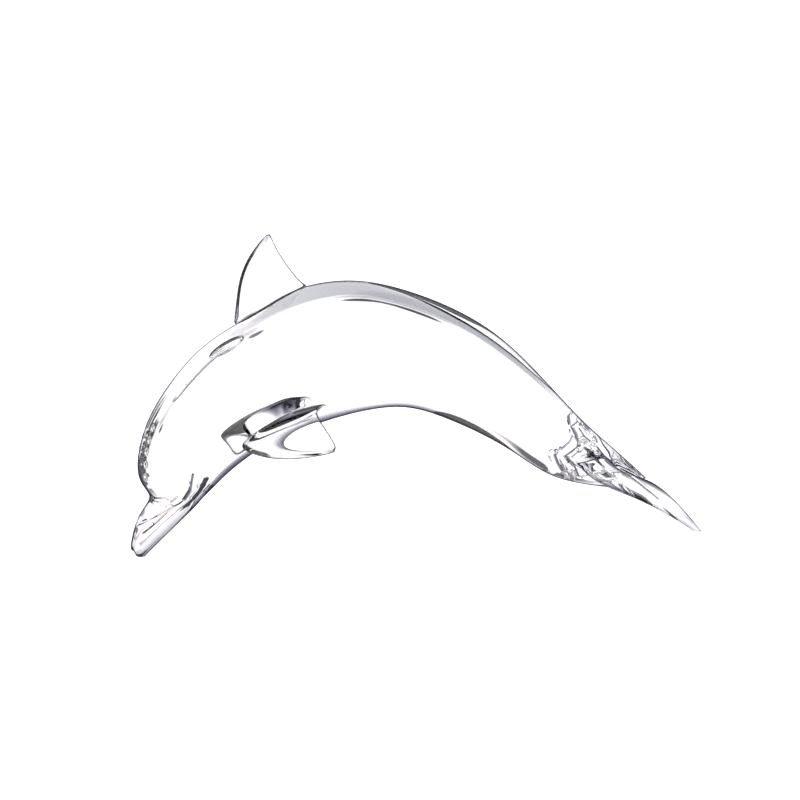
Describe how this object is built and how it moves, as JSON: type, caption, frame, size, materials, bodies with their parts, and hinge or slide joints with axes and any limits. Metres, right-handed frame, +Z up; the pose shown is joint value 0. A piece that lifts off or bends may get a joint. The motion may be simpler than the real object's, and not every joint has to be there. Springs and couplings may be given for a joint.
{
  "type": "glass dolphin figurine",
  "caption": "Leaping dolphin ornament in solid clear glass, arched back, standing on its beak and its drooping tail flukes.",
  "frame": {"origin": "on the ground, under the middle of the figure's length and width", "axes": "+X from the head to the tail, +Y across from its left side to its right, +Z up"},
  "size_m": [0.1996, 0.0702, 0.1086],
  "materials": {
    "clear_glass": "polished clear glass"
  },
  "bodies": {
    "root": {"glass_dolphin": "clear_glass"}
  },
  "joints": []
}
